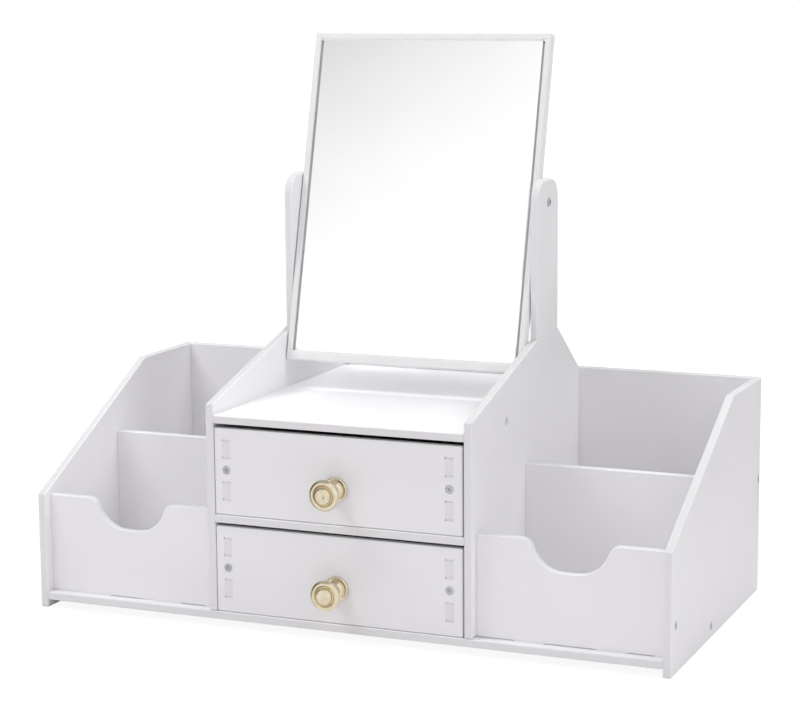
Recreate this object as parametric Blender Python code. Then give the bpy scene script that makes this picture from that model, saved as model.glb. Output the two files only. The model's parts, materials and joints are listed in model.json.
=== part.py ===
"""A cosmetic organizer: two drawers under a shelf, an open wing on each side and a tilting mirror.

It is cut from thin board and put together with tabs, slots and countersunk screws. Lengths are in
metres. X runs across the front, Y to the back and Z up, and the origin is on the ground, under the
middle of the outer box with the knobs counted in.
"""

import math

import bmesh
import bpy
from mathutils import Vector

for leftover in list(bpy.data.objects):
    bpy.data.objects.remove(leftover, do_unlink=True)

# Board and fits
BOARD = 0.006
EDGE_ROUND = 0.0006
FIT = 0.0003
TAB_PLAY = 0.0010
GROOVE_DEPTH = 0.0028
OVERRUN = 0.004
WELD = 0.000001

# Whole organizer
WIDTH = 0.500
FOOT = 0.006
FRONT_INSET = 0.008
BAY_WIDTH = 0.197
BACK_LIP = 0.0095

# Outer side panels
SIDE_LIP = 0.0015
SIDE_SLOPE = 0.160

# Centre panels with the mirror arms
CENTRE_LIP = 0.008
SHOULDER_HEIGHT = 0.2065
SHELF_STOP = 0.010
ARM_FRONT = 0.139
ARM_WIDTH = 0.046
ARM_ABOVE_PIVOT = 0.017
ARM_CORNER = 0.016
FLARE_HEIGHT = 0.210
CENTRE_TAB = 0.030
CENTRE_TAB_INSETS = {"front": 0.060, "rear": 0.047}

# Wings: a notched front and a divider in each
FRONT_HEIGHT = 0.075
NOTCH_WIDTH = 0.072
NOTCH_DEPTH = 0.023
NOTCH_FLAT = 0.010
NOTCH_SHOULDER = 0.008
DIVIDER_PLACE = 0.1115
DIVIDER_HEIGHT = 0.105
WING_TAB = 0.0235
WING_TAB_SPREAD = 0.0302
INNER_TAB = 0.020

# Drawers, and the room round them
DRAWER_DEPTH = 0.229
DRAWER_FRONT_HEIGHT = 0.0648
DRAWER_SIDE_DROP = 0.0055
DRAWER_SIDE_INSET = 0.0067
DRAWER_TAB_SHARE = 0.196
DRAWER_TAB_SPREAD_SHARE = 0.242
DRAWER_TAB_MIDDLE_SHARE = 0.517
DRAWER_INSET = 0.001
DRAWER_GAP = 0.00095
DRAWER_SHIFT = 0.0006
DRAWER_TOP_GAPS = {"lower": 0.0025, "upper": 0.0033}
DRAWER_REAR_GAP = 0.009
DRAWER_BOTTOM = 0.003
BOTTOM_HEIGHT = 0.0025

# Knobs
KNOB_LENGTH = 0.0247
KNOB_DROP = 0.0063
KNOB_HEAD = 0.023
KNOB_HEAD_THICKNESS = 0.0055
KNOB_RIM = 0.0012
KNOB_BOSS = 0.0125
KNOB_GROOVE = 0.0012
KNOB_DIMPLE = 0.004
KNOB_DIMPLE_DEPTH = 0.0006
KNOB_NECK = 0.009
KNOB_COLLAR = 0.0130
KNOB_COLLAR_THICKNESS = 0.0020
KNOB_ROSETTE = 0.0185
KNOB_ROSETTE_THICKNESS = 0.0018
KNOB_BORE_ROOM = 0.003

# Mirror, above and below its pivot
TILT = math.radians(14.5)
MIRROR_ABOVE = 0.1277
MIRROR_BELOW = 0.131
MIRROR_CLEARANCE = 0.017
SIDE_RAIL = 0.004
TOP_RAIL = 0.0051
BOTTOM_RAIL = 0.0062
GLASS = 0.003
GLASS_RECESS = 0.0005
GLASS_SIDE_GAP = 0.0018
BACKING = 0.005
WASHER = 0.0009
WASHER_DIAMETER = 0.0075

# Screws
SCREW_HEAD = 0.006
SCREW_SHANK = 0.003
SCREW_LENGTH = 0.020
SCREW_SINK = 0.0002
SCREW_RIM = 0.0003
CROSS_LENGTH = 0.0034
CROSS_WIDTH = 0.0009
CROSS_DEPTH = 0.0008
PAN_HEAD = 0.0062
PAN_HEIGHT = 0.0012
PAN_CROWN_SHARE = 0.62
PIVOT_BITE = 0.008
KNOB_SCREW_BITE = 0.009

# Screw places on the boards, from the front edge of the panels and from the ground
FRONT_SCREW_HEIGHT = 0.035
BASE_SCREW_PLACE = 0.105
BACK_SCREW_HEIGHT = 0.0895
SHELF_SCREW_PLACE = 0.0705
REAR_SCREW_HEIGHTS = {"lower": 0.046, "upper": 0.126}

# Facets of the round forms
EDGE_STEPS = 1
SCREW_STEPS = 12
WASHER_STEPS = 16
KNOB_STEPS = 24
CORNER_STEPS = 7
NOTCH_STEPS = 6
SHOULDER_STEPS = 4

# Depths: the carcass is built round its drawers
BACK_FACE = DRAWER_INSET + DRAWER_DEPTH + DRAWER_REAR_GAP
DEPTH = BACK_FACE + BOARD
KNOB_REACH = KNOB_LENGTH + FIT - DRAWER_INSET
FRONT = (KNOB_REACH - DEPTH) / 2
CENTRE_TAB_PLACES = (CENTRE_TAB_INSETS["front"], BACK_FACE - CENTRE_TAB_INSETS["rear"])
PIVOT_PLACE = ARM_FRONT + ARM_WIDTH / 2

# Heights: each board stands over what it holds, and the mirror clears the shelf both ways up
BASE_TOP = FOOT + BOARD
BAY_HEIGHTS = {level: FIT + DRAWER_FRONT_HEIGHT + gap for level, gap in DRAWER_TOP_GAPS.items()}
DRAWER_FLOORS = {"lower": BASE_TOP, "upper": BASE_TOP + BAY_HEIGHTS["lower"] + BOARD}
DRAWER_SIDE_HEIGHT = DRAWER_FRONT_HEIGHT - DRAWER_SIDE_DROP
SHELF_TOP = DRAWER_FLOORS["upper"] + BAY_HEIGHTS["upper"] + BOARD
SIDE_FRONT_HEIGHT = BASE_TOP + FRONT_HEIGHT + SIDE_LIP
CENTRE_FRONT_HEIGHT = SHELF_TOP + CENTRE_LIP
BACK_HEIGHT = SHELF_TOP + BACK_LIP
PIVOT_HEIGHT = SHELF_TOP + MIRROR_CLEARANCE + max(MIRROR_ABOVE, MIRROR_BELOW)
ARM_HEIGHT = PIVOT_HEIGHT + ARM_ABOVE_PIVOT

# Widths
OUTER_INSIDE = WIDTH / 2 - BOARD
CENTRE_OUTSIDE = BAY_WIDTH / 2 + BOARD
WING_MIDDLE = (CENTRE_OUTSIDE + OUTER_INSIDE) / 2
WING_HALF = (OUTER_INSIDE - CENTRE_OUTSIDE) / 2 - FIT
SIDES = {"left": -1, "right": 1}

# How a board drawn flat is stood up: lying, facing the front, or facing sideways
LYING = (0, 0, 0)
FACING_FRONT = (math.radians(90), 0, 0)
FACING_SIDE = (math.radians(90), 0, math.radians(90))


def finish(name, colour, roughness, metallic=0.0):
    """A plain material: its colour, how matt it is, and whether it is metal."""
    material = bpy.data.materials.new(name)
    material.use_nodes = True
    shader = material.node_tree.nodes["Principled BSDF"]
    shader.inputs["Base Color"].default_value = (*colour, 1)
    shader.inputs["Roughness"].default_value = roughness
    shader.inputs["Metallic"].default_value = metallic
    return material


WHITE_BOARD = finish("white_board", (0.86, 0.86, 0.88), 0.45)
MIRROR = finish("mirror", (0.92, 0.93, 0.94), 0.03, 1.0)
BRASS = finish("pale_brass", (0.86, 0.70, 0.42), 0.22, 1.0)
STEEL = finish("screw_steel", (0.50, 0.50, 0.52), 0.35, 1.0)
NYLON = finish("dark_nylon", (0.10, 0.10, 0.11), 0.50)


def add_piece(name, mesh, material, at, turn, parent):
    """An object for one piece, placed and turned, and carried by its parent where it has one."""
    piece = bpy.data.objects.new(name, mesh)
    bpy.context.scene.collection.objects.link(piece)
    piece.location = at
    piece.rotation_euler = turn
    piece.parent = parent
    if not mesh.materials:
        mesh.materials.append(material)
    return piece


def axis_empty(name, at, turn=(0, 0, 0)):
    """The axis of a joint, which carries the pieces that move on it."""
    empty = bpy.data.objects.new(name, None)
    bpy.context.scene.collection.objects.link(empty)
    empty.location = at
    empty.rotation_euler = turn
    return empty


def make_cutter(piece):
    piece.hide_render = True
    piece.display_type = "WIRE"
    return piece


def cut(piece, cutter):
    boolean = piece.modifiers.new(cutter.name, "BOOLEAN")
    boolean.operation = "DIFFERENCE"
    boolean.solver = "EXACT"
    boolean.object = cutter


def prism(name, outline, thickness):
    """A mesh of an outline in the XY plane, raised along Z."""
    shape = bmesh.new()
    base = shape.faces.new([shape.verts.new((x, y, 0)) for x, y in outline])
    raised = bmesh.ops.extrude_face_region(shape, geom=[base])
    corners = [item for item in raised["geom"] if isinstance(item, bmesh.types.BMVert)]
    bmesh.ops.translate(shape, verts=corners, vec=(0, 0, thickness))
    bmesh.ops.recalc_face_normals(shape, faces=shape.faces)
    mesh = bpy.data.meshes.new(name)
    shape.to_mesh(mesh)
    shape.free()
    return mesh


def board(name, outline, at, turn, parent=None, thickness=BOARD, material=WHITE_BOARD):
    """A board sawn to an outline, with its edges lightly rounded."""
    piece = add_piece(name, prism(name, outline, thickness), material, at, turn, parent)
    rounding = piece.modifiers.new("rounded_edges", "BEVEL")
    rounding.width = EDGE_ROUND
    rounding.segments = EDGE_STEPS
    rounding.limit_method = "ANGLE"
    piece.data.shade_smooth()
    piece.data.set_sharp_from_angle(angle=math.radians(40))
    return piece


def box_cutter(name, low, high, parent=None):
    """A block between two corners, for a slot, a notch or a groove."""
    outline = rectangle(low[0], low[1], high[0], high[1])
    mesh = prism(name, outline, high[2] - low[2])
    return make_cutter(add_piece(name, mesh, WHITE_BOARD, (0, 0, low[2]), LYING, parent))


def turned_mesh(name, profile, steps, ring=False):
    """A mesh turned about Z from points of (radius, height). A ring's profile closes on itself."""
    shape = bmesh.new()
    points = [shape.verts.new((radius, 0, height)) for radius, height in profile]
    ends = zip(points, points[1:] + points[:1] if ring else points[1:])
    edges = [shape.edges.new(pair) for pair in ends]
    bmesh.ops.spin(
        shape,
        geom=points + edges,
        cent=(0, 0, 0),
        axis=(0, 0, 1),
        angle=math.radians(360),
        steps=steps,
        use_merge=True,
    )
    bmesh.ops.remove_doubles(shape, verts=shape.verts, dist=WELD)
    bmesh.ops.recalc_face_normals(shape, faces=shape.faces)
    mesh = bpy.data.meshes.new(name)
    shape.to_mesh(mesh)
    shape.free()
    mesh.shade_smooth()
    mesh.set_sharp_from_angle(angle=math.radians(35))
    return mesh


def rectangle(left, bottom, right, top):
    return [(left, bottom), (right, bottom), (right, top), (left, top)]


def arc(centre, radius, start, end, steps):
    """Points along an arc, both ends included, with its angles in degrees."""
    angles = [math.radians(start + (end - start) * step / steps) for step in range(steps + 1)]
    return [
        (centre[0] + radius * math.cos(angle), centre[1] + radius * math.sin(angle))
        for angle in angles
    ]


def tabbed_edge(start, end, middles, tab, reach):
    """The edge from start towards end, anticlockwise, with a tab standing out at each middle."""
    run = Vector(end) - Vector(start)
    along = run.normalized()
    outward = Vector((along.y, -along.x))
    points = [Vector(start)]
    for middle in middles:
        for side, out in ((-1, 0), (-1, reach), (1, reach), (1, 0)):
            points.append(Vector(start) + along * (middle + side * tab / 2) + outward * out)
    return [tuple(point) for point in points]


def mirrored(outline):
    """The outline seen from behind, still anticlockwise."""
    return [(-x, y) for x, y in reversed(outline)]


def countersunk(length, grown=0.0):
    """A countersunk screw's profile, or that of its hole, which is grown and runs past the face."""
    shank = SCREW_SHANK / 2 + grown
    head = SCREW_HEAD / 2 + grown
    top = OVERRUN if grown else -SCREW_SINK
    cone_top = -SCREW_SINK - SCREW_RIM
    cone_end = cone_top - (head - shank)
    tip = -length - grown
    return [
        (0, top),
        (head, top),
        (head, cone_top),
        (shank, cone_end),
        (shank, tip + shank),
        (0, tip),
    ]


def pan_headed(length, grown=0.0):
    """A pan-headed screw's profile, or that of the hole for its shank."""
    shank = SCREW_SHANK / 2 + grown
    tip = -length - grown
    shank_end = [(shank, tip + shank), (0, tip)]
    if grown:
        return [(0, OVERRUN), (shank, OVERRUN)] + shank_end
    head = PAN_HEAD / 2
    crown = head * PAN_CROWN_SHARE
    crown_top = FIT + PAN_HEIGHT
    crown_edge = crown_top - (head - crown) / 2
    return [(0, crown_top), (crown, crown_top), (head, crown_edge), (head, FIT), (shank, FIT)] + shank_end


def screw_mesh(name, profile):
    """A screw with a cross recess cut into its head."""
    blank = add_piece(name, turned_mesh(name, profile, SCREW_STEPS), STEEL, (0, 0, 0), LYING, None)
    top = profile[0][1]
    for turn, label in ((0, "across"), (math.radians(90), "along")):
        outline = rectangle(-CROSS_LENGTH / 2, -CROSS_WIDTH / 2, CROSS_LENGTH / 2, CROSS_WIDTH / 2)
        mesh = prism(label, outline, CROSS_DEPTH + OVERRUN)
        arm = add_piece(label, mesh, STEEL, (0, 0, top - CROSS_DEPTH), (0, 0, turn), None)
        cut(blank, make_cutter(arm))
    bpy.context.view_layer.update()
    recessed = blank.evaluated_get(bpy.context.evaluated_depsgraph_get())
    mesh = bpy.data.meshes.new_from_object(recessed)
    mesh.name = name
    for helper in [modifier.object for modifier in blank.modifiers] + [blank]:
        bpy.data.objects.remove(helper, do_unlink=True)
    return mesh


SCREW_MESHES = {}


def fasten(name, kind, length, at, inward, boards, parent=None):
    """A screw driven from a board's face, and the hole that it needs in every board it passes."""
    turn = (-Vector(inward)).to_track_quat("Z", "Y").to_euler()
    if (kind, length) not in SCREW_MESHES:
        SCREW_MESHES[(kind, length)] = screw_mesh(name, kind(length))
    screw = add_piece(name, SCREW_MESHES[(kind, length)], STEEL, at, turn, parent)
    hole_mesh = turned_mesh(name + "_hole", kind(length, FIT), SCREW_STEPS)
    hole = make_cutter(add_piece(name + "_hole", hole_mesh, STEEL, at, turn, parent))
    for piece in boards:
        cut(piece, hole)
    return screw


def outer_panel(side):
    """An outer side panel. It reaches the ground, so it is also the foot on its side."""
    sign = SIDES[side]
    outline = [
        (0, 0),
        (DEPTH, 0),
        (DEPTH, BACK_HEIGHT),
        (SIDE_SLOPE, BACK_HEIGHT),
        (0, SIDE_FRONT_HEIGHT),
    ]
    inner_left = sign * (OUTER_INSIDE + BOARD / 2) - BOARD / 2
    return board(side + "_outer_panel", outline, (inner_left, FRONT, 0), FACING_SIDE)


def centre_panel(side):
    """A panel between a wing and the drawers, drawn out at the top into an arm for the mirror."""
    sign = SIDES[side]
    bottom = BASE_TOP + FIT
    rear = BACK_FACE - FIT
    arm_rear = ARM_FRONT + ARM_WIDTH
    arm_top = ARM_HEIGHT - ARM_CORNER
    outline = tabbed_edge((0, bottom), (rear, bottom), CENTRE_TAB_PLACES, CENTRE_TAB, BOARD + FIT)
    outline += [(rear, bottom), (rear, BACK_HEIGHT), (arm_rear, FLARE_HEIGHT)]
    outline += arc((arm_rear - ARM_CORNER, arm_top), ARM_CORNER, 0, 90, CORNER_STEPS)
    outline += arc((ARM_FRONT + ARM_CORNER, arm_top), ARM_CORNER, 90, 180, CORNER_STEPS)
    outline += [(ARM_FRONT, SHOULDER_HEIGHT), (0, CENTRE_FRONT_HEIGHT)]
    left_face = sign * (CENTRE_OUTSIDE - BOARD / 2) - BOARD / 2
    return board(side + "_centre_panel", outline, (left_face, FRONT, 0), FACING_SIDE)


def wing_board(name, side, height, place, top=()):
    """A board across a wing, tabbed into the base below and the centre panel beside it."""
    bottom = tabbed_edge(
        (-WING_HALF, 0),
        (WING_HALF, 0),
        (WING_HALF - WING_TAB_SPREAD, WING_HALF + WING_TAB_SPREAD),
        WING_TAB,
        BOARD + FIT,
    )
    inner = tabbed_edge((-WING_HALF, height), (-WING_HALF, 0), (height / 2,), INNER_TAB, BOARD + FIT)
    outline = bottom + [(WING_HALF, 0), (WING_HALF, height), *top] + inner
    sign = SIDES[side]
    if sign < 0:
        outline = mirrored(outline)
    at = (sign * WING_MIDDLE, FRONT + place + BOARD, BASE_TOP + FIT)
    return board(name, outline, at, FACING_FRONT)


def notch():
    """The finger notch in a wing's front, from right to left: two round ends and a short flat."""
    run = (NOTCH_WIDTH - NOTCH_FLAT) / 2
    reach = (run**2 + NOTCH_DEPTH**2) / (2 * NOTCH_DEPTH)
    end_radius = reach - NOTCH_SHOULDER
    lean = math.degrees(math.atan2(reach - NOTCH_DEPTH, run))
    shoulder = (NOTCH_WIDTH / 2, FRONT_HEIGHT - NOTCH_SHOULDER)
    end = (NOTCH_FLAT / 2, FRONT_HEIGHT - NOTCH_DEPTH + end_radius)
    right = arc(shoulder, NOTCH_SHOULDER, 90, 180 - lean, SHOULDER_STEPS)
    right += arc(end, end_radius, -lean, -90, NOTCH_STEPS)[1:]
    return right + [(-x, y) for x, y in reversed(right)]


def cut_wing_slots(side, base, centre, name, place, height):
    """The slots that take a wing board's tabs, in the base and in the centre panel."""
    sign = SIDES[side]
    near = FRONT + place - FIT
    far = FRONT + place + BOARD + FIT
    for label, spread in (("inner", -WING_TAB_SPREAD), ("outer", WING_TAB_SPREAD)):
        middle = sign * (WING_MIDDLE + spread)
        half = WING_TAB / 2 + FIT
        low = (middle - half, near, FOOT - OVERRUN)
        high = (middle + half, far, BASE_TOP + OVERRUN)
        cut(base, box_cutter(f"{name}_{label}_slot", low, high))
    tab_middle = BASE_TOP + FIT + height / 2
    half = INNER_TAB / 2 + FIT
    across = sign * (CENTRE_OUTSIDE - BOARD / 2)
    reach = BOARD / 2 + OVERRUN
    low = (across - reach, FRONT + place - FIT, tab_middle - half)
    high = (across + reach, far, tab_middle + half)
    cut(centre, box_cutter(f"{name}_panel_slot", low, high))


def housed_outline():
    """The shelf between the drawers, wider behind its front, where its ends are let into grooves."""
    half = BAY_WIDTH / 2 - FIT
    housed = half + GROOVE_DEPTH
    stop = SHELF_STOP + FIT
    right = [(half, 0), (half, stop), (housed, stop), (housed, BACK_FACE - FIT)]
    return right + mirrored(right)


def build_carcass():
    """The fixed boards: base, back, four upright panels, two shelves, and each wing's two boards."""
    back = board(
        "back_panel",
        rectangle(-OUTER_INSIDE + FIT, FOOT, OUTER_INSIDE - FIT, BACK_HEIGHT),
        (0, FRONT + DEPTH, 0),
        FACING_FRONT,
    )
    base = board(
        "base_board",
        rectangle(-OUTER_INSIDE + FIT, 0, OUTER_INSIDE - FIT, BACK_FACE - FIT),
        (0, FRONT, FOOT),
        LYING,
    )
    shelf_outline = rectangle(-BAY_WIDTH / 2 + FIT, 0, BAY_WIDTH / 2 - FIT, BACK_FACE - FIT)
    top_shelf = board("top_shelf", shelf_outline, (0, FRONT, SHELF_TOP - BOARD), LYING)
    housed_height = DRAWER_FLOORS["upper"] - BOARD
    board("drawer_shelf", housed_outline(), (0, FRONT, housed_height), LYING)
    arms = {}
    for side, sign in SIDES.items():
        outer = outer_panel(side)
        centre = arms[side] = centre_panel(side)
        across = sign * (CENTRE_OUTSIDE - BOARD / 2)
        faces = sorted((sign * (BAY_WIDTH / 2 - OVERRUN), sign * (BAY_WIDTH / 2 + GROOVE_DEPTH)))
        low = (faces[0], FRONT + SHELF_STOP, housed_height - FIT)
        high = (faces[1], FRONT + BACK_FACE + OVERRUN, housed_height + BOARD + FIT)
        cut(centre, box_cutter(side + "_shelf_groove", low, high))
        for number, place in enumerate(CENTRE_TAB_PLACES):
            half = (BOARD / 2 + FIT, CENTRE_TAB / 2 + FIT)
            low = (across - half[0], FRONT + place - half[1], FOOT - OVERRUN)
            high = (across + half[0], FRONT + place + half[1], BASE_TOP + OVERRUN)
            cut(base, box_cutter(f"{side}_centre_slot_{number}", low, high))
        name = side + "_front_panel"
        front = wing_board(name, side, FRONT_HEIGHT, FRONT_INSET, notch())
        cut_wing_slots(side, base, centre, name, FRONT_INSET, FRONT_HEIGHT)
        name = side + "_divider"
        wing_board(name, side, DIVIDER_HEIGHT, DIVIDER_PLACE)
        cut_wing_slots(side, base, centre, name, DIVIDER_PLACE, DIVIDER_HEIGHT)
        screw_carcass(side, outer, centre, front, base, back, top_shelf)
    return arms


def screw_carcass(side, outer, centre, front, base, back, top_shelf):
    """The countersunk screws on one side: through the upright panels, and in through the back."""
    sign = SIDES[side]
    inward = (-sign, 0, 0)
    outside = sign * WIDTH / 2
    front_place = FRONT + FRONT_INSET + BOARD / 2
    base_height = FOOT + BOARD / 2
    back_place = FRONT + DEPTH - BOARD / 2
    shelf_place = FRONT + SHELF_SCREW_PLACE
    centre_outside = sign * CENTRE_OUTSIDE
    rows = (
        ("outer_front", (outside, front_place, FRONT_SCREW_HEIGHT), (outer, front)),
        ("outer_base", (outside, FRONT + BASE_SCREW_PLACE, base_height), (outer, base)),
        ("outer_back", (outside, back_place, BACK_SCREW_HEIGHT), (outer, back)),
        ("top_shelf", (centre_outside, shelf_place, SHELF_TOP - BOARD / 2), (centre, top_shelf)),
    )
    for label, at, boards in rows:
        fasten(f"{side}_{label}_screw", countersunk, SCREW_LENGTH, at, inward, boards)
    centre_middle = sign * (CENTRE_OUTSIDE - BOARD / 2)
    for label, height in REAR_SCREW_HEIGHTS.items():
        at = (centre_middle, FRONT + DEPTH, height)
        name = f"{side}_rear_{label}_screw"
        fasten(name, countersunk, SCREW_LENGTH, at, (0, -1, 0), (back, centre))


def knob_mesh():
    """A turned knob: rosette, waisted neck, and a head with a rim, a groove and a dimpled boss."""
    bore = SCREW_SHANK / 2 + FIT
    bore_depth = KNOB_SCREW_BITE + KNOB_BORE_ROOM
    rosette = KNOB_ROSETTE / 2
    collar = KNOB_COLLAR / 2
    neck = KNOB_NECK / 2
    head = KNOB_HEAD / 2
    boss = KNOB_BOSS / 2
    dimple = KNOB_DIMPLE / 2
    collar_top = KNOB_ROSETTE_THICKNESS + KNOB_COLLAR_THICKNESS
    head_back = KNOB_LENGTH - KNOB_HEAD_THICKNESS
    neck_end = (collar_top + head_back) / 2
    face = KNOB_LENGTH - KNOB_GROOVE
    profile = [
        (0, bore_depth),
        (bore, bore_depth - bore),
        (bore, 0),
        (rosette, 0),
        (rosette, KNOB_ROSETTE_THICKNESS - KNOB_RIM / 2),
        (rosette - KNOB_RIM / 2, KNOB_ROSETTE_THICKNESS),
        (collar, KNOB_ROSETTE_THICKNESS),
        (collar, collar_top),
        (neck, collar_top + KNOB_RIM),
        (neck, neck_end),
        (head - KNOB_RIM, head_back),
        (head, head_back + KNOB_RIM),
        (head, face - KNOB_RIM / 2),
        (head - KNOB_RIM / 2, face),
        (head - KNOB_RIM, face),
        (boss + KNOB_GROOVE, face - KNOB_GROOVE),
        (boss, face - KNOB_GROOVE),
        (boss, KNOB_LENGTH - KNOB_RIM / 2),
        (boss - KNOB_RIM / 2, KNOB_LENGTH),
        (dimple, KNOB_LENGTH),
        (0, KNOB_LENGTH - KNOB_DIMPLE_DEPTH),
    ]
    return turned_mesh("knob", profile, KNOB_STEPS)


def cut_drawer_slots(end, name, slide, across, near):
    """The two slots through a drawer's front or back that take the tabs of one side board."""
    spread = DRAWER_TAB_SPREAD_SHARE * DRAWER_FRONT_HEIGHT
    half = (BOARD / 2 + FIT, DRAWER_TAB_SHARE * DRAWER_FRONT_HEIGHT / 2 + TAB_PLAY)
    for label, lift in (("lower", -spread), ("upper", spread)):
        middle = DRAWER_TAB_MIDDLE_SHARE * DRAWER_FRONT_HEIGHT + lift
        low = (across - half[0], near - OVERRUN, middle - half[1])
        high = (across + half[0], near + BOARD + OVERRUN, middle + half[1])
        cut(end, box_cutter(f"{name}_{label}_slot", low, high, slide))


def build_drawer(level, knob):
    """One drawer, in its own frame: Y from the face of its front, Z from its bottom edge."""
    floor = DRAWER_FLOORS[level]
    prefix = level + "_drawer"
    slide = axis_empty(prefix + "_slide", (-DRAWER_SHIFT, FRONT + DRAWER_INSET, floor + FIT))
    half_width = BAY_WIDTH / 2 - DRAWER_GAP
    side_middle = half_width - DRAWER_SIDE_INSET - BOARD / 2
    side_inside = side_middle - BOARD / 2
    screw_height = DRAWER_TAB_MIDDLE_SHARE * DRAWER_FRONT_HEIGHT
    back_place = DRAWER_DEPTH - BOARD
    groove_low = BOTTOM_HEIGHT
    groove_high = BOTTOM_HEIGHT + DRAWER_BOTTOM + FIT + FIT

    front_outline = rectangle(-half_width, 0, half_width, DRAWER_FRONT_HEIGHT)
    front = board(prefix + "_front", front_outline, (0, BOARD, 0), FACING_FRONT, slide)
    back_outline = rectangle(-half_width, 0, half_width, DRAWER_SIDE_HEIGHT)
    back = board(prefix + "_back", back_outline, (0, DRAWER_DEPTH, 0), FACING_FRONT, slide)

    groove = side_inside + GROOVE_DEPTH
    for end, label, low, high in (
        (front, "front", BOARD - GROOVE_DEPTH, BOARD + OVERRUN),
        (back, "back", back_place - OVERRUN, back_place + GROOVE_DEPTH),
    ):
        corner = (-groove, low, groove_low)
        far_corner = (groove, high, groove_high)
        cut(end, box_cutter(f"{prefix}_{label}_groove", corner, far_corner, slide))

    panel = groove - FIT
    panel_front = BOARD - GROOVE_DEPTH + FIT
    panel_back = back_place + GROOVE_DEPTH - FIT
    bottom_outline = rectangle(-panel, panel_front, panel, panel_back)
    bottom_at = (0, 0, BOTTOM_HEIGHT + FIT)
    board(prefix + "_bottom", bottom_outline, bottom_at, LYING, slide, DRAWER_BOTTOM)

    side_start = BOARD + FIT
    side_length = back_place - FIT - side_start
    tab = DRAWER_TAB_SHARE * DRAWER_FRONT_HEIGHT
    tab_spread = DRAWER_TAB_SPREAD_SHARE * DRAWER_FRONT_HEIGHT
    tab_places = (screw_height - tab_spread, screw_height + tab_spread)
    from_top = [DRAWER_SIDE_HEIGHT - place for place in reversed(tab_places)]
    reach = BOARD + FIT
    bottom_corner, top_corner = (0, 0), (0, DRAWER_SIDE_HEIGHT)
    far_bottom, far_top = (side_length, 0), (side_length, DRAWER_SIDE_HEIGHT)
    side_outline = [bottom_corner]
    side_outline += tabbed_edge(far_bottom, far_top, tab_places, tab, reach)
    side_outline += [far_top]
    side_outline += tabbed_edge(top_corner, bottom_corner, from_top, tab, reach)
    for side, sign in SIDES.items():
        name = f"{prefix}_{side}_side"
        across = sign * side_middle
        at = (across - BOARD / 2, side_start, 0)
        panel_side = board(name, side_outline, at, FACING_SIDE, slide)
        inner_face = sign * side_inside
        groove_ends = sorted((inner_face - sign * OVERRUN, inner_face + sign * GROOVE_DEPTH))
        low = (groove_ends[0], -OVERRUN, groove_low)
        high = (groove_ends[1], DRAWER_DEPTH + OVERRUN, groove_high)
        cut(panel_side, box_cutter(name + "_groove", low, high, slide))
        cut_drawer_slots(front, name + "_front", slide, across, 0)
        cut_drawer_slots(back, name + "_back", slide, across, back_place)
        for label, end, place, inward in (
            ("front", front, 0, (0, 1, 0)),
            ("back", back, DRAWER_DEPTH, (0, -1, 0)),
        ):
            at = (across, place, screw_height)
            screw_name = f"{prefix}_{side}_{label}_screw"
            fasten(screw_name, countersunk, SCREW_LENGTH, at, inward, (end, panel_side), slide)

    knob_height = DRAWER_FRONT_HEIGHT / 2 - KNOB_DROP
    add_piece(prefix + "_knob", knob, BRASS, (0, -FIT, knob_height), FACING_FRONT, slide)
    at = (0, BOARD, knob_height)
    length = BOARD + KNOB_SCREW_BITE
    fasten(prefix + "_knob_screw", pan_headed, length, at, (0, -1, 0), (front,), slide)


def build_mirror(arms):
    """The mirror in its frame, tilted back on a screw and a washer at each arm."""
    pivot = axis_empty("mirror_pivot", (0, FRONT + PIVOT_PLACE, PIVOT_HEIGHT), (-TILT, 0, 0))
    half_width = BAY_WIDTH / 2 - WASHER - 2 * FIT
    rear = BACKING / 2
    frame_depth = BACKING + FIT + GLASS + GLASS_RECESS
    rail_top = MIRROR_ABOVE - TOP_RAIL
    rail_bottom = BOTTOM_RAIL - MIRROR_BELOW
    inside = half_width - SIDE_RAIL

    def upright(name, left, bottom, right, top, behind, thickness, material=WHITE_BOARD):
        outline = rectangle(left, bottom, right, top)
        return board(name, outline, (0, behind, 0), FACING_FRONT, pivot, thickness, material)

    upright("mirror_top_rail", -half_width, rail_top, half_width, MIRROR_ABOVE, rear, frame_depth)
    upright(
        "mirror_bottom_rail", -half_width, -MIRROR_BELOW, half_width, rail_bottom, rear, frame_depth
    )
    bottom, top = rail_bottom + FIT, rail_top - FIT
    backing = upright("mirror_backing", -inside + FIT, bottom, inside - FIT, top, rear, BACKING)
    glass_half = inside - GLASS_SIDE_GAP
    glass_back = rear - BACKING - FIT
    upright("mirror_glass", -glass_half, bottom, glass_half, top, glass_back, GLASS, MIRROR)
    washer_profile = [
        (SCREW_SHANK / 2 + FIT, -WASHER / 2),
        (WASHER_DIAMETER / 2, -WASHER / 2),
        (WASHER_DIAMETER / 2, WASHER / 2),
        (SCREW_SHANK / 2 + FIT, WASHER / 2),
    ]
    washer_mesh = turned_mesh("pivot_washer", washer_profile, WASHER_STEPS, ring=True)
    length = BOARD + WASHER + FIT + FIT + SIDE_RAIL + PIVOT_BITE
    for side, sign in SIDES.items():
        left, right = sorted((sign * inside, sign * half_width))
        rail = upright(f"mirror_{side}_rail", left, bottom, right, top, rear, frame_depth)
        washer_at = (sign * (half_width + FIT + WASHER / 2), 0, 0)
        sideways = (0, math.radians(90), 0)
        add_piece(side + "_pivot_washer", washer_mesh, NYLON, washer_at, sideways, pivot)
        at = (sign * CENTRE_OUTSIDE, 0, 0)
        pieces = (arms[side], rail, backing)
        fasten(side + "_pivot_screw", pan_headed, length, at, (-sign, 0, 0), pieces, pivot)


arms = build_carcass()
knob = knob_mesh()
for level in DRAWER_FLOORS:
    build_drawer(level, knob)
build_mirror(arms)
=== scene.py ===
"""The looks of a white cosmetic organizer with two drawers, two wings and a tilting mirror."""

import json
import math

import bmesh
import bpy
from mathutils import Matrix, Vector


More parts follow.
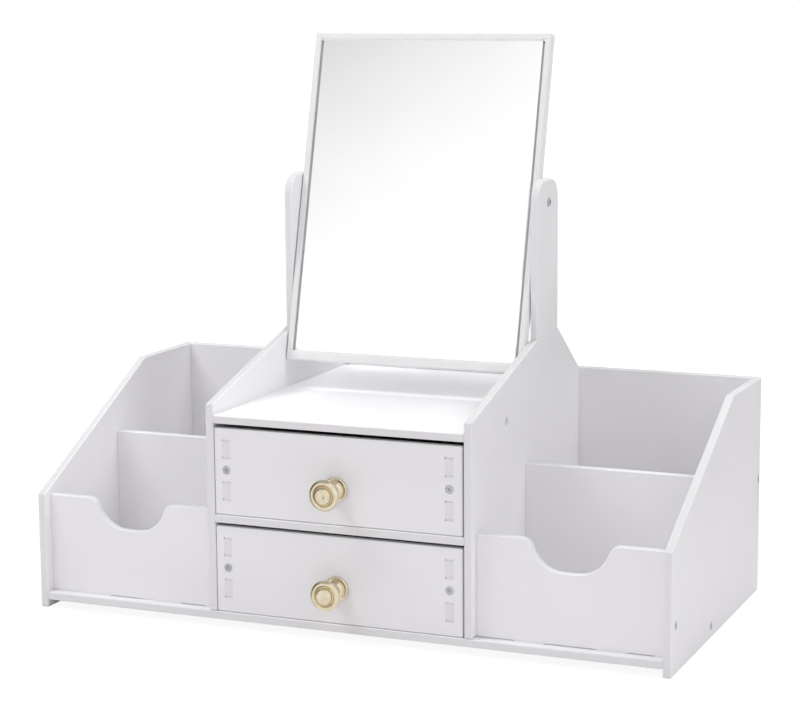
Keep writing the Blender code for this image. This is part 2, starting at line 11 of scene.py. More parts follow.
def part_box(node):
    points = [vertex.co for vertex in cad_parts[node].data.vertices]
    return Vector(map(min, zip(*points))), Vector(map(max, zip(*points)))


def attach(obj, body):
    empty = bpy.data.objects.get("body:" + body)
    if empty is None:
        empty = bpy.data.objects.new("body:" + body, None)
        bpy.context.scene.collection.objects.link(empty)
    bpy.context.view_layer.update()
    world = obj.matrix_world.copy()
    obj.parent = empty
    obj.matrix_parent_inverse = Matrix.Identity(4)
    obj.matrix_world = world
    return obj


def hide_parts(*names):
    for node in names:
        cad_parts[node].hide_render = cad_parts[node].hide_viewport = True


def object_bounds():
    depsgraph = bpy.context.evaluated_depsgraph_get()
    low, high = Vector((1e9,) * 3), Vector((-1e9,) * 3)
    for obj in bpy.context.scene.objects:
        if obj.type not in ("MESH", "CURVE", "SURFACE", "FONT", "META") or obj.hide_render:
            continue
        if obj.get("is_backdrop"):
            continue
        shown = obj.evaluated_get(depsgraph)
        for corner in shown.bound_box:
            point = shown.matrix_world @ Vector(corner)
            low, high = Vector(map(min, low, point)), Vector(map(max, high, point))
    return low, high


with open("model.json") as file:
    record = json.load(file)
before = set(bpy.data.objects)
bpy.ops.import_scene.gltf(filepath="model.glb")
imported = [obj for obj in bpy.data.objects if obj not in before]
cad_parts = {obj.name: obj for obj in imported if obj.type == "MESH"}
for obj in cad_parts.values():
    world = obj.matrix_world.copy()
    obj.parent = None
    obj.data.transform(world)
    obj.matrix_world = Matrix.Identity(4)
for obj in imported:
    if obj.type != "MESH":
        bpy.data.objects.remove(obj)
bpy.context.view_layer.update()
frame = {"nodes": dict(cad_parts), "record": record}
nodes = frame["nodes"]


# The boards of the carcass and the drawers.
# Sheets of foamed plastic, sawn to shape: a satin white skin on both faces, and a matt porous core
# at the sawn edges, greyed by painted shade where it looks up. Tabs, glue and screws hold them
# together.
WAYS = {"sideways": (1, 0, 0), "frontways": (0, 1, 0), "upwards": (0, 0, 1)}
SKIN_TONES = ((0.863, 0.853, 0.872), (0.881, 0.872, 0.890))
SKIN_MATT = (0.44, 0.54)
CORE_TONES = ((0.770, 0.762, 0.776), (0.825, 0.817, 0.832))
CORE_MATT = (0.66, 0.78)
# Painted shade: the grey that sawn edges turn where they look up, and how far, against the strong
# light from above.
UPWARD_EDGE_SHADE_TONE = (0.640, 0.635, 0.645)
UPWARD_EDGE_SHADE_SHARE = 0.9
BOARD_SHEEN = 0.25
CLOUD_SIZE = 0.090
PEEL_SIZE = 0.0011
PEEL_DEPTH = 0.000012
PORE_SIZE = 0.00035
PORE_DEPTH = 0.00006
FACE_LEVEL = 0.5
FACE_SPAN = (0.55, 0.80)
SPOT_SPAN = (0.35, 0.65)


def new_material(name):
    """A new material, with its node tree and its shader."""
    material = bpy.data.materials.new(name)
    material.use_nodes = True
    tree = material.node_tree
    return material, tree, tree.nodes["Principled BSDF"]


def paint(piece, material):
    """Gives every face of a piece this material."""
    piece.data.materials.clear()
    piece.data.materials.append(material)


def give(tree, socket, value):
    """Sets a socket to a plain value, or links another node's output to it."""
    if isinstance(value, bpy.types.NodeSocket):
        tree.links.new(value, socket)
    else:
        socket.default_value = value


def maths(tree, operation, *values, clamp=False):
    """The result of a sum. Each value is a plain number or another node's output."""
    node = tree.nodes.new("ShaderNodeMath")
    node.operation = operation
    node.use_clamp = clamp
    for socket, value in zip(node.inputs, values):
        give(tree, socket, value)
    return node.outputs["Value"]


def along(tree, kind, way):
    """How far a texture coordinate reaches along a way. A direction straight along it gives 1."""
    place = tree.nodes.new("ShaderNodeTexCoord")
    share = tree.nodes.new("ShaderNodeVectorMath")
    share.operation = "DOT_PRODUCT"
    share.inputs[1].default_value = way
    tree.links.new(place.outputs[kind], share.inputs[0])
    return share.outputs["Value"]


def spots(tree, size, detail=2.0, roughness=0.5):
    """Soft random spots of about that size, fixed to the piece, as a share from 0 to 1."""
    place = tree.nodes.new("ShaderNodeTexCoord")
    noise = tree.nodes.new("ShaderNodeTexNoise")
    noise.inputs["Scale"].default_value = 1 / size
    noise.inputs["Detail"].default_value = detail
    noise.inputs["Roughness"].default_value = roughness
    tree.links.new(place.outputs["Object"], noise.inputs["Vector"])
    return noise.outputs["Fac"]


def ranged(tree, value, span, reach, kind):
    """A value that goes from one end of its reach to the other as another passes over a span."""
    ramp = tree.nodes.new("ShaderNodeMapRange")
    ramp.interpolation_type = kind
    ramp.inputs["From Min"].default_value, ramp.inputs["From Max"].default_value = span
    ramp.inputs["To Min"].default_value, ramp.inputs["To Max"].default_value = reach
    tree.links.new(value, ramp.inputs["Value"])
    return ramp.outputs["Result"]


def between(tree, share, low, high):
    """A value that goes from low to high with the spots, evenly over the span that most lie in."""
    return ranged(tree, share, SPOT_SPAN, (low, high), "LINEAR")


def fading(tree, value, span, reach):
    """A value that eases from one end of its reach to the other over the span."""
    return ranged(tree, value, span, reach, "SMOOTHSTEP")


def mixed(tree, share, first, second, kind="RGBA"):
    """A mix of two colours or two values. Each is a plain value or another node's output."""
    mix = tree.nodes.new("ShaderNodeMix")
    mix.data_type = kind
    factor, *ends = [s for s in mix.inputs if s.enabled]
    tree.links.new(share, factor)
    for socket, value in zip(ends, (first, second)):
        plain_colour = kind == "RGBA" and not isinstance(value, bpy.types.NodeSocket)
        give(tree, socket, (*value, 1) if plain_colour else value)
    return next(s for s in mix.outputs if s.enabled)


def bumped(tree, height, depth, under=None):
    """The surface pushed in and out by the height, to that depth."""
    bump = tree.nodes.new("ShaderNodeBump")
    bump.inputs["Strength"].default_value = 1.0
    bump.inputs["Distance"].default_value = depth
    tree.links.new(height, bump.inputs["Height"])
    if under is not None:
        tree.links.new(under, bump.inputs["Normal"])
    return bump.outputs["Normal"]


def satin_board(name, across, tones, core_tones=CORE_TONES):
    """White foamed board: skin on its faces, core on its edges. Across is through its thickness."""
    material, tree, shader = new_material(name)
    faced = maths(tree, "ABSOLUTE", along(tree, "Normal", across))
    edge = fading(tree, faced, FACE_SPAN, (1.0, 0.0))
    cloud = spots(tree, CLOUD_SIZE)
    pores = spots(tree, PORE_SIZE, detail=3.0, roughness=0.7)
    peel = spots(tree, PEEL_SIZE, detail=1.0)
    skin = mixed(tree, between(tree, cloud, 0, 1), *tones)
    core = mixed(tree, between(tree, pores, 0, 1), *core_tones)
    # Painted shade: up-facing sawn edges are mixed towards grey, so the light from above does not
    # leave them too bright.
    upward_edge_shade = maths(tree, "MULTIPLY", along(tree, "Normal", WAYS["upwards"]), UPWARD_EDGE_SHADE_SHARE, clamp=True)
    painted_shade_core = mixed(tree, upward_edge_shade, core, UPWARD_EDGE_SHADE_TONE)
    tree.links.new(mixed(tree, edge, skin, painted_shade_core), shader.inputs["Base Color"])
    skin_matt = between(tree, cloud, *SKIN_MATT)
    core_matt = between(tree, pores, *CORE_MATT)
    tree.links.new(mixed(tree, edge, skin_matt, core_matt, "FLOAT"), shader.inputs["Roughness"])
    rough_edge = mixed(tree, edge, FACE_LEVEL, pores, "FLOAT")
    surface = bumped(tree, rough_edge, PORE_DEPTH, bumped(tree, peel, PEEL_DEPTH))
    tree.links.new(surface, shader.inputs["Normal"])
    shader.inputs["Specular IOR Level"].default_value = BOARD_SHEEN
    return material


boards = [satin_board("satin_board_" + way, across, SKIN_TONES) for way, across in WAYS.items()]
for part in frame["record"]["subparts"]:
    name = part["node"]
    if part["material_slot"] == "white_board" and not name.startswith("mirror"):
        low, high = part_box(name)
        size = list(high - low)
        paint(nodes[name], boards[size.index(min(size))])


# The screws.
# Zinc-plated steel: countersunk ones through the boards, flush with their faces, and pan-headed
# ones for the knobs and the mirror's pivots. The two that hold the top shelf are lacquered white.
STEEL_TONES = ((0.52, 0.52, 0.54), (0.66, 0.66, 0.68))
DULL_ZINC = 0.55
LACQUER_TONES = ((0.72, 0.71, 0.73), (0.80, 0.79, 0.81))
SCREW_CLOUD_SIZE = 0.0016
SCREW_GRAIN_SIZE = 0.0004
SCREW_GRAIN_DEPTH = 0.00001
SCREW_MATT = (0.30, 0.46)
SCREW_SIDES = 32
SCREW_TIP_SHARE = 0.15
KEEN_EDGE = math.radians(35)
COUNTERSUNK = {
    "Head diameter": 0.0060,
    "Crown diameter": 0.0056,
    "Top": -0.0002,
    "Crown drop": 0.00012,
    "Under": -0.0005,
    "Neck": -0.0020,
    "Shank diameter": 0.0030,
    "Length": 0.0200,
    "Recess length": 0.0034,
    "Recess width": 0.0009,
    "Recess depth": 0.0010,
}
PAN_HEADED = {
    "Head diameter": 0.0062,
    "Crown diameter": 0.0040,
    "Top": 0.0015,
    "Crown drop": 0.0006,
    "Under": 0.00032,
    "Neck": 0.00030,
    "Shank diameter": 0.0030,
    "Length": 0.0150,
    "Recess length": 0.0034,
    "Recess width": 0.0009,
    "Recess depth": 0.0009,
}


def screw_finish(name, tones, metallic):
    """The skin of a screw, zinc or lacquer, a little clouded."""
    material, tree, shader = new_material(name)
    cloud = spots(tree, SCREW_CLOUD_SIZE, detail=3.0)
    grain = spots(tree, SCREW_GRAIN_SIZE)
    tree.links.new(mixed(tree, between(tree, cloud, 0, 1), *tones), shader.inputs["Base Color"])
    tree.links.new(between(tree, cloud, *SCREW_MATT), shader.inputs["Roughness"])
    tree.links.new(bumped(tree, grain, SCREW_GRAIN_DEPTH), shader.inputs["Normal"])
    shader.inputs["Metallic"].default_value = metallic
    return material


def screw_tree():
    """A screw at every seat: a profile swept round its axis, a cross cut in its head."""
    tree = bpy.data.node_groups.new("screws", "GeometryNodeTree")
    face = tree.interface
    face.new_socket("Seats", in_out="INPUT", socket_type="NodeSocketGeometry")
    for label in COUNTERSUNK:
        face.new_socket(label, in_out="INPUT", socket_type="NodeSocketFloat")
    face.new_socket("Turn seed", in_out="INPUT", socket_type="NodeSocketInt")
    face.new_socket("Finish", in_out="INPUT", socket_type="NodeSocketMaterial")
    face.new_socket("Screws", in_out="OUTPUT", socket_type="NodeSocketGeometry")
    given = tree.nodes.new("NodeGroupInput").outputs

    def add(kind, values, **settings):
        """The first output in use of a new node, its inputs linked or set."""
        node = tree.nodes.new(kind)
        for key, value in settings.items():
            setattr(node, key, value)
        for key, value in values.items():
            socket = next(s for s in node.inputs if s.enabled and key in (s.name, s.identifier))
            give(tree, socket, value)
        return next(s for s in node.outputs if s.enabled)

    def by_index(values):
        """A value for each point of the profile, in order."""
        switch = tree.nodes.new("GeometryNodeIndexSwitch")
        switch.data_type = "FLOAT"
        while len(switch.index_switch_items) < len(values):
            switch.index_switch_items.new()
        tree.links.new(add("GeometryNodeInputIndex", {}), switch.inputs["Index"])
        for number, value in enumerate(values):
            tree.links.new(value, switch.inputs[number + 1])
        return switch.outputs[0]

    head = maths(tree, "DIVIDE", given["Head diameter"], 2.0)
    crown = maths(tree, "DIVIDE", given["Crown diameter"], 2.0)
    shank = maths(tree, "DIVIDE", given["Shank diameter"], 2.0)
    tip = maths(tree, "MULTIPLY", shank, SCREW_TIP_SHARE)
    rim = maths(tree, "SUBTRACT", given["Top"], given["Crown drop"])
    bottom = maths(tree, "MULTIPLY", given["Length"], -1.0)
    taper = maths(tree, "ADD", bottom, given["Shank diameter"])
    profile = (
        (crown, given["Top"]),
        (head, rim),
        (head, given["Under"]),
        (shank, given["Neck"]),
        (shank, taper),
        (tip, bottom),
    )
    radii, heights = (by_index(values) for values in zip(*profile))

    line = add("GeometryNodeMeshLine", {"Count": len(profile), "Offset": (0, 0, -1)})
    curve = add("GeometryNodeMeshToCurve", {"Mesh": line})
    place = add("ShaderNodeCombineXYZ", {"Z": heights})
    spine = add("GeometryNodeSetPosition", {"Geometry": curve, "Position": place})
    ring = add("GeometryNodeCurvePrimitiveCircle", {"Resolution": SCREW_SIDES, "Radius": 1.0})
    sweep = {"Curve": spine, "Profile Curve": ring, "Scale": radii, "Fill Caps": True}
    blank = add("GeometryNodeCurveToMesh", sweep)

    # The cross is centred on the head's top, so its arms are twice as high as the recess is deep.
    cut = add("GeometryNodeMeshBoolean", {"Mesh 1": blank}, operation="DIFFERENCE", solver="EXACT")
    lift = add("ShaderNodeCombineXYZ", {"Z": given["Top"]})
    high = maths(tree, "MULTIPLY", given["Recess depth"], 2.0)
    for x, y in (("Recess length", "Recess width"), ("Recess width", "Recess length")):
        size = add("ShaderNodeCombineXYZ", {"X": given[x], "Y": given[y], "Z": high})
        arm = add("GeometryNodeMeshCube", {"Size": size})
        arm = add("GeometryNodeTransform", {"Geometry": arm, "Translation": lift})
        tree.links.new(arm, cut.node.inputs["Mesh 2"])

    soft = add("GeometryNodeSetShadeSmooth", {"Geometry": cut, "Shade Smooth": True})
    bend = add("GeometryNodeInputMeshEdgeAngle", {})
    keen = add("FunctionNodeCompare", {"A": bend, "B": KEEN_EDGE}, operation="GREATER_THAN")
    screw = add(
        "GeometryNodeSetShadeSmooth",
        {"Geometry": soft, "Selection": keen, "Shade Smooth": False},
        domain="EDGE",
    )

    outward = add("GeometryNodeInputNamedAttribute", {"Name": "outward"}, data_type="FLOAT_VECTOR")
    stand = add("FunctionNodeAlignRotationToVector", {"Vector": outward}, axis="Z")
    turn = add(
        "FunctionNodeRandomValue",
        {"Max": math.radians(90), "Seed": given["Turn seed"]},
        data_type="FLOAT",
    )
    spin = add("FunctionNodeAxisAngleToRotation", {"Axis": (0, 0, 1), "Angle": turn})
    stood = add(
        "FunctionNodeRotateRotation",
        {"Rotation": stand, "Rotate By": spin},
        rotation_space="LOCAL",
    )
    placed = add(
        "GeometryNodeInstanceOnPoints",
        {"Points": given["Seats"], "Instance": screw, "Rotation": stood},
    )
    real = add("GeometryNodeRealizeInstances", {"Geometry": placed})
    done = add("GeometryNodeSetMaterial", {"Geometry": real, "Material": given["Finish"]})
    tree.links.new(done, tree.nodes.new("NodeGroupOutput").inputs[0])
    return tree


def add_object(name, data):
    """A new object in the scene, at the origin."""
    piece = bpy.data.objects.new(name, data)
    bpy.context.scene.collection.objects.link(piece)
    return piece


def outward_of(name):
    """The way a screw's head faces."""
    if "drawer" in name:
        return Vector((0, -1 if "front" in name else 1, 0))
    if "rear" in name:
        return Vector((0, 1, 0))
    return Vector((-1 if name.startswith("left") else 1, 0, 0))


def drive_screws(name, body, sizes, screw_nodes, seed, finish):
    """One mesh of all the like screws of a body, in place of their CAD nodes."""
    mesh = bpy.data.meshes.new(name)
    ways, seats = [], []
    for node in screw_nodes:
        low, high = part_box(node)
        way = outward_of(node)
        seat = (low + high) / 2
        for axis in range(3):
            if way[axis]:
                seat[axis] = (high if way[axis] > 0 else low)[axis] - way[axis] * sizes["Top"]
        seats.append(seat)
        ways.append(way)
    mesh.from_pydata(seats, [], [])
    outward = mesh.attributes.new("outward", "FLOAT_VECTOR", "POINT")
    outward.data.foreach_set("vector", [value for way in ways for value in way])
    holder = add_object(name + "_seats", mesh)
    maker = holder.modifiers.new("screws", "NODES")
    maker.node_group = screws_group
    values = {**sizes, "Turn seed": seed, "Finish": finish}
    for item in screws_group.interface.items_tree:
        if item.in_out == "INPUT" and item.name in values:
            maker[item.identifier] = values[item.name]
    evaluated = holder.evaluated_get(bpy.context.evaluated_depsgraph_get())
    screws = add_object(name, bpy.data.meshes.new_from_object(evaluated))
    bpy.data.objects.remove(holder)
    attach(screws, body)
    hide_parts(*screw_nodes)


steel = screw_finish("plated_steel", STEEL_TONES, DULL_ZINC)
lacquer = screw_finish("white_lacquer", LACQUER_TONES, 0.0)
screws_group = screw_tree()
for seed, (body, members) in enumerate(frame["record"]["behaviour"]["bodies"].items()):
    turned = [n for n in members if n.endswith("_screw")]
    pan = [n for n in turned if "pivot" in n or "knob" in n]
    white = [n for n in turned if "top_shelf" in n]
    flat = [n for n in turned if n not in pan + white]
    for kind, sizes, screw_nodes, finish in (
        ("_countersunk_screws", COUNTERSUNK, flat, steel),
        ("_lacquered_screws", COUNTERSUNK, white, lacquer),
        ("_pan_headed_screws", PAN_HEADED, pan, steel),
    ):
        if screw_nodes:
            drive_screws(body + kind, body, sizes, screw_nodes, seed, finish)


# The glue in the joints.
# White glue is run into the seams between boards that don't move on each other, and wiped off just
# below their faces. It leaves the joints faint, and dark only where a seam was missed.
GLUE_TONES = ((0.80, 0.79, 0.81), (0.86, 0.85, 0.87))
GLUE_LUMP_SIZE = 0.0015
GLUE_LUMP_DEPTH = 0.00005
GLUE_MATT = (0.42, 0.60)
SEAM = 0.0003
CHAMFER = 0.0007
WIPED = 0.00012
WING_FRONT_WIPED = 0.0004
SLOT_WIPED = 0.0005
SLOT_END = 0.0010
BEAD_DEPTH = 0.002
SHELF_BEAD_DEPTH = 0.003
SHELF_BEAD_RUN = 0.009
BASE_BEAD_RUN = 0.030
NEAR_FACE = 0.0001
PLACE_DIGITS = 5
WING_SEAM_RUNS = {
    "left": ((-0.2431, -0.1962), (-0.1668, -0.1558), (-0.1120, -0.1054)),
    "right": ((0.2360, 0.2431),),
}


def dried_glue():
    """White glue, dried to a soft gloss and a little uneven."""
    material, tree, shader = new_material("dried_glue")
    lumps = spots(tree, GLUE_LUMP_SIZE, detail=3.0)
    tone = mixed(tree, between(tree, lumps, 0, 1), *GLUE_TONES)
    tree.links.new(tone, shader.inputs["Base Color"])
    tree.links.new(between(tree, lumps, *GLUE_MATT), shader.inputs["Roughness"])
    tree.links.new(bumped(tree, lumps, GLUE_LUMP_DEPTH), shader.inputs["Normal"])
    shader.inputs["Specular IOR Level"].default_value = BOARD_SHEEN
    return material


def as_mesh(name, shape):
    """The mesh of a finished shape, its faces turned outward."""
    bmesh.ops.recalc_face_normals(shape, faces=shape.faces)
    mesh = bpy.data.meshes.new(name)
    shape.to_mesh(mesh)
    shape.free()
    return mesh


def beads(name, body, runs, stand=None):
    """One mesh of straight beads of glue, each given by its spans along x, y and z."""
    shape = bmesh.new()
    for spans in runs:
        bead = bmesh.ops.create_cube(shape, size=1.0)["verts"]
        low, high = (Vector(corner) for corner in zip(*spans))
        size = Matrix.Diagonal((*(high - low), 1))
        bmesh.ops.transform(shape, matrix=Matrix.Translation((low + high) / 2) @ size, verts=bead)
    if stand is not None:
        bmesh.ops.transform(shape, matrix=stand, verts=shape.verts)
    run = add_object(name, as_mesh(name, shape))
    paint(run, glue)
    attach(run, body)


def tabs(name, axis, face, along_axis):
    """Where a board's tabs start and end along one axis, from its corners on the tabs' end face."""
    places = set()
    for corner in nodes[name].data.vertices:
        place = nodes[name].matrix_world @ corner.co
        if abs(place[axis] - face) < NEAR_FACE:
            places.add(round(place[along_axis], PLACE_DIGITS))
    places = sorted(places)
    return list(zip(places[::2], places[1::2]))


def off_face(face, way):
    """A span from a board's face, over the seam there, to the next board's chamfer."""
    return sorted((face, face + way * (SEAM + CHAMFER)))


def past_end(end, way):
    """A span from a board's chamfer, past its end, over the seam there."""
    return sorted((end + way * SEAM, end - way * CHAMFER))


def wing_beads(side, sign):
    """The seams round a wing's front and divider, and at the corners of its back."""
    centre_low, centre_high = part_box(side + "_centre_panel")
    outer_low, outer_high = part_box(side + "_outer_panel")
    inner_face = centre_high.x if sign > 0 else centre_low.x
    outer_face = outer_low.x if sign > 0 else outer_high.x
    base_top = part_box("base_board")[1].z
    runs = []
    for board, inner_wiped in (("_front_panel", WING_FRONT_WIPED), ("_divider", WIPED)):
        name = side + board
        low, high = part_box(name)
        for face, way, wiped in ((inner_face, sign, inner_wiped), (outer_face, -sign, WIPED)):
            tall = (base_top, high.z - CHAMFER)
            runs.append((off_face(face, way), (low.y + wiped, high.y - WIPED), tall))
        for start, end in tabs(name, 2, low.z, 0):
            sunk = (base_top - BEAD_DEPTH, base_top - WIPED)
            runs.append(((start - SEAM, end + SEAM), (low.y - SEAM, low.y + SEAM), sunk))
    low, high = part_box(side + "_front_panel")
    for seam_run in WING_SEAM_RUNS[side]:
        tall = (base_top - CHAMFER, base_top + BEAD_DEPTH)
        runs.append((seam_run, (low.y + WIPED, high.y - WIPED), tall))
    low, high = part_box("back_panel")
    corner = off_face(outer_face, -sign)
    runs.append((corner, (low.y + WIPED, high.y - WIPED), (base_top, high.z - CHAMFER)))
    inset = (centre_low.x + CHAMFER, centre_high.x - CHAMFER)
    runs.append((inset, (low.y - SEAM - CHAMFER, low.y), (base_top, high.z - WIPED)))
    return runs


def end_beads(name, ends_of, run):
    """The seams at a flat board's two ends, for a run from its front edge.

    Where its own ends are hidden in grooves, ends_of is a board whose ends are at the same seams.
    """
    left, right = (corner.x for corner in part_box(ends_of))
    low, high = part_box(name)
    spans = ((low.y + WIPED, low.y + run), (low.z + CHAMFER, high.z - WIPED))
    return [(past_end(end, way), *spans) for end, way in ((left, -1), (right, 1))]


def shelf_beads():
    """The seams along the top shelf's ends and rear, and at the front ends of both shelves."""
    low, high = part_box("top_shelf")
    tall = (high.z - SHELF_BEAD_DEPTH, high.z - WIPED)
    runs = end_beads("top_shelf", "top_shelf", SHELF_BEAD_RUN)
    runs += end_beads("drawer_shelf", "top_shelf", SHELF_BEAD_RUN)
    for end, way in ((low.x, -1), (high.x, 1)):
        runs.append((past_end(end, way), (low.y + SHELF_BEAD_RUN, high.y), tall))
    runs.append(((low.x, high.x), (high.y - CHAMFER, high.y + SEAM), tall))
    return runs


def drawer_beads(level):
    """The seams round the tabs in a drawer front's slots, fuller beside a tab than at its ends."""
    runs = []
    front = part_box(level + "_drawer_front")[0].y
    reach = SLOT_END + CHAMFER
    for side in ("left", "right"):
        name = f"{level}_drawer_{side}_side"
        low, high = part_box(name)
        for start, end in tabs(name, 1, low.y, 2):
            for face, way in ((low.x, -1), (high.x, 1)):
                deep = (front + WIPED, front + BEAD_DEPTH)
                runs.append((past_end(face, way), deep, (start, end)))
            deep = (front + SLOT_WIPED, front + BEAD_DEPTH)
            runs.append(((low.x, high.x), deep, (start - reach, end + reach)))
    return runs


glue = dried_glue()
carcass_runs = shelf_beads() + end_beads("base_board", "base_board", BASE_BEAD_RUN)
for side, sign in (("left", -1), ("right", 1)):
    carcass_runs += wing_beads(side, sign)
beads("carcass_glue", "carcass", carcass_runs)
for level in ("lower", "upper"):
    beads(level + "_drawer_glue", level + "_drawer", drawer_beads(level))


# The knobs.
# Each is turned from brass and polished: a rosette against the drawer front, a thin neck, and a head
# with a round rim, dished about a dimpled boss. A screw from inside the drawer holds it.
BRASS_TONES = ((0.700, 0.610, 0.440), (0.800, 0.720, 0.560))
BRASS_CLOUD_SIZE = 0.006
BRASS_GRAIN_SIZE = 0.0007
BRASS_GRAIN_DEPTH = 0.000008
BRASS_MATT = (0.10, 0.20)
KNOB_STEPS = 72
KNOB_ROUNDING = 0.00035
KNOB_ROUNDING_STEPS = 3
KNOB_ROUNDED_OVER = math.radians(25)
KNOB_SHARP_OVER = math.radians(40)
SAME_PLACE = 1e-6
KNOB_PROFILE = (
    (0.0000, 0.01200),
    (0.0018, 0.01020),
    (0.0018, 0.00000),
    (0.00925, 0.00000),
    (0.00925, 0.00120),
    (0.00865, 0.00180),
    (0.00650, 0.00180),
    (0.00600, 0.00300),
    (0.00450, 0.00420),
    (0.00400, 0.00600),
    (0.00400, 0.01500),
    (0.00460, 0.01680),
    (0.00650, 0.01800),
    (0.01070, 0.01890),
    (0.01150, 0.01980),
    (0.01150, 0.02040),
    (0.01128, 0.02110),
    (0.01090, 0.02170),
    (0.01035, 0.02225),
    (0.00970, 0.02265),
    (0.00900, 0.02285),
    (0.00835, 0.02275),
    (0.00780, 0.02240),
    (0.00735, 0.02190),
    (0.00700, 0.02140),
    (0.00640, 0.02125),
    (0.00625, 0.02330),
    (0.00580, 0.02420),
    (0.00490, 0.02470),
    (0.00260, 0.02470),
    (0.00140, 0.02445),
    (0.00000, 0.02435),
)


def polished_brass():
    """Pale brass, polished, a little clouded and uneven."""
    material, tree, shader = new_material("polished_brass")
    cloud = spots(tree, BRASS_CLOUD_SIZE, detail=3.0)
    grain = spots(tree, BRASS_GRAIN_SIZE)
    tone = mixed(tree, between(tree, cloud, 0, 1), *BRASS_TONES)
    tree.links.new(tone, shader.inputs["Base Color"])
    tree.links.new(between(tree, cloud, *BRASS_MATT), shader.inputs["Roughness"])
    tree.links.new(bumped(tree, grain, BRASS_GRAIN_DEPTH), shader.inputs["Normal"])
    shader.inputs["Metallic"].default_value = 1.0
    return material


def turned_knob(name, level):
    """A knob on its drawer, its axis out to the front. The profile gives radius and height."""
    node = level + "_drawer_knob"
    low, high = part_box(node)
    shape = bmesh.new()
    points = [shape.verts.new((radius, 0, height)) for radius, height in KNOB_PROFILE]
    edges = [shape.edges.new(pair) for pair in zip(points, points[1:])]
    bmesh.ops.spin(
        shape,
        geom=points + edges,
        axis=(0, 0, 1),
        cent=(0, 0, 0),
        angle=math.tau,
        steps=KNOB_STEPS,
        use_merge=True,
    )
    bmesh.ops.remove_doubles(shape, verts=shape.verts, dist=SAME_PLACE)
    seat = Matrix.Translation(((low.x + high.x) / 2, high.y, (low.z + high.z) / 2))
    stand = seat @ Matrix.Rotation(math.radians(90), 4, "X")
    bmesh.ops.transform(shape, matrix=stand, verts=shape.verts)
    mesh = as_mesh(name, shape)
    mesh.shade_smooth()
    mesh.set_sharp_from_angle(angle=KNOB_SHARP_OVER)
    knob = add_object(name, mesh)
    rounding = knob.modifiers.new("rounded", "BEVEL")
    rounding.width = KNOB_ROUNDING
    rounding.segments = KNOB_ROUNDING_STEPS
    rounding.limit_method = "ANGLE"
    rounding.angle_limit = KNOB_ROUNDED_OVER
    paint(knob, brass)
    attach(knob, level + "_drawer")
    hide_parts(node)


brass = polished_brass()
for level in ("lower", "upper"):
    turned_knob(level + "_turned_knob", level)


# The mirror.
# A 3 mm silvered glass lies in a frame of four board rails, glued to a backing board. The rails and
# backing are a little less lilac than the carcass and greyer, the grey being painted shade where
# they lean back into the light from above; their sawn edges are lighter, as painted light under the
# frame.
# It leans back between the arms, on a pivot screw with a nylon washer on either side.
TILT = math.radians(14.5)
FACING = (0, -math.cos(TILT), math.sin(TILT))
# Painted shade: the rails' skin is greyer, since their faces lean back into the light from above.
RAIL_PAINTED_SHADE_TONES = ((0.795, 0.792, 0.799), (0.815, 0.812, 0.819))
# Painted light: the rails' sawn edges are lighter, to lift the shadow line below the bottom rail.
RAIL_EDGE_PAINTED_LIGHT_TONES = ((0.835, 0.831, 0.841), (0.862, 0.858, 0.868))
FRAME_SPREAD = 0.0007
TOP_FILLET = ((0.0011, 0.0002), (0.0002, 0.0004))
GLASS_TONES = ((0.958, 0.960, 0.959), (0.978, 0.979, 0.978))
GLASS_MARK_SIZE = 0.06
GLASS_MATT = (0.004, 0.018)
NYLON_TONES = ((0.035, 0.035, 0.038), (0.060, 0.060, 0.064))
NYLON_SPOT_SIZE = 0.002
NYLON_MATT = (0.42, 0.58)


def silvered_glass():
    """Silver behind clear glass, with the faintest wiping marks."""
    material, tree, shader = new_material("silvered_glass")
    marks = spots(tree, GLASS_MARK_SIZE, detail=4.0, roughness=0.6)
    tone = mixed(tree, between(tree, marks, 0, 1), *GLASS_TONES)
    tree.links.new(tone, shader.inputs["Base Color"])
    tree.links.new(between(tree, marks, *GLASS_MATT), shader.inputs["Roughness"])
    shader.inputs["Metallic"].default_value = 1.0
    return material


def dark_nylon():
    """Black nylon, slightly mottled."""
    material, tree, shader = new_material("dark_nylon")
    cloud = spots(tree, NYLON_SPOT_SIZE)
    tone = mixed(tree, between(tree, cloud, 0, 1), *NYLON_TONES)
    tree.links.new(tone, shader.inputs["Base Color"])
    tree.links.new(between(tree, cloud, *NYLON_MATT), shader.inputs["Roughness"])
    return material


def spread_rail(name):
    """A rail of the frame, with its outer side or its ends a little nearer to the arms."""
    mesh = nodes[f"mirror_{name}_rail"].data.copy()
    inner, outer = (corner.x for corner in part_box("mirror_right_rail"))
    for corner in mesh.vertices:
        if abs(corner.co.x) > (inner + outer) / 2:
            corner.co.x += math.copysign(FRAME_SPREAD, corner.co.x)
    rail = add_object(name + "_frame_rail", mesh)
    paint(rail, rail_board_painted_light_and_shade)
    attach(rail, "mirror")
    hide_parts(f"mirror_{name}_rail")
    return rail


